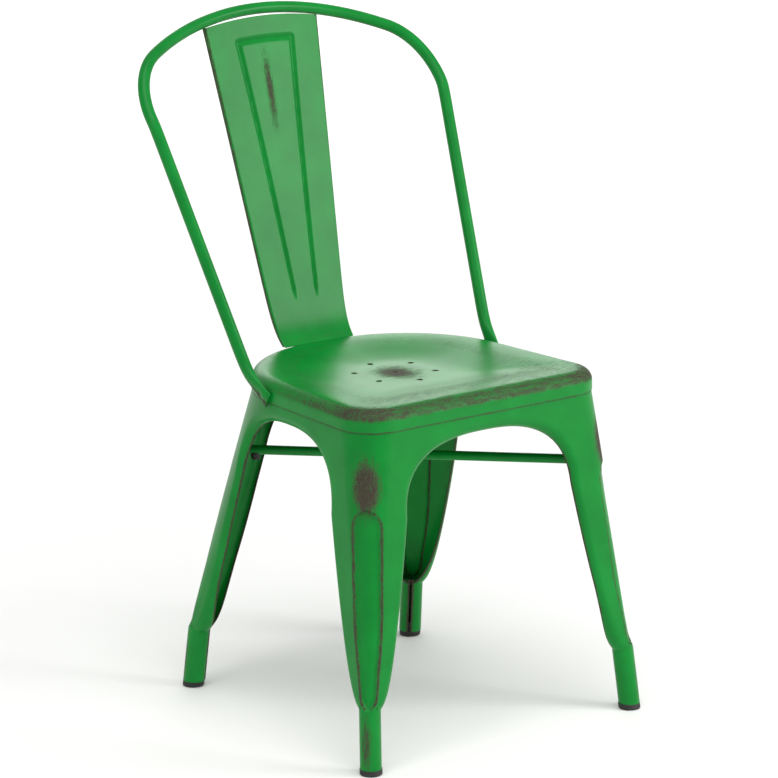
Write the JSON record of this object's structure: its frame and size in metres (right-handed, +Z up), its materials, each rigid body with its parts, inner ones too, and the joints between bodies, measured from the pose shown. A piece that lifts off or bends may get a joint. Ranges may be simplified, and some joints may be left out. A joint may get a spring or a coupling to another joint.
{
  "type": "stacking chair",
  "caption": "Pressed-steel stacking chair with a bent-tube back hoop, a central back splat, four splayed channel legs and rubber feet.",
  "frame": {"origin": "on the floor, under the middle of the chair's bounding box", "axes": "+Z up, the sitter faces -Y, +X to the right seen from the front (from -Y)"},
  "size_m": [0.466, 0.5233, 0.8509],
  "materials": {
    "painted_steel": "distressed green enamel on pressed steel",
    "brace_paint": "green enamel on steel tube",
    "painted_rivet": "green enamel over a domed rivet head",
    "foot_rubber": "matte black rubber",
    "stop_rubber": "matte black rubber"
  },
  "bodies": {
    "root": {"back_hoop": "painted_steel", "back_splat": "painted_steel", "front_left_brace_plate": "brace_paint", "front_left_foot_cap": "foot_rubber", "front_left_leg": "painted_steel", "front_left_stack_stop": "stop_rubber", "front_right_brace_plate": "brace_paint", "front_right_foot_cap": "foot_rubber", "front_right_leg": "painted_steel", "front_right_stack_stop": "stop_rubber", "left_hoop_rivet": "painted_rivet", "lower_brace_tube": "brace_paint", "rear_left_brace_plate": "brace_paint", "rear_left_foot_cap": "foot_rubber", "rear_left_leg": "painted_steel", "rear_left_stack_stop": "stop_rubber", "rear_right_brace_plate": "brace_paint", "rear_right_foot_cap": "foot_rubber", "rear_right_leg": "painted_steel", "rear_right_stack_stop": "stop_rubber", "right_hoop_rivet": "painted_rivet", "seat_pan": "painted_steel", "upper_brace_tube": "brace_paint"}
  },
  "joints": []
}
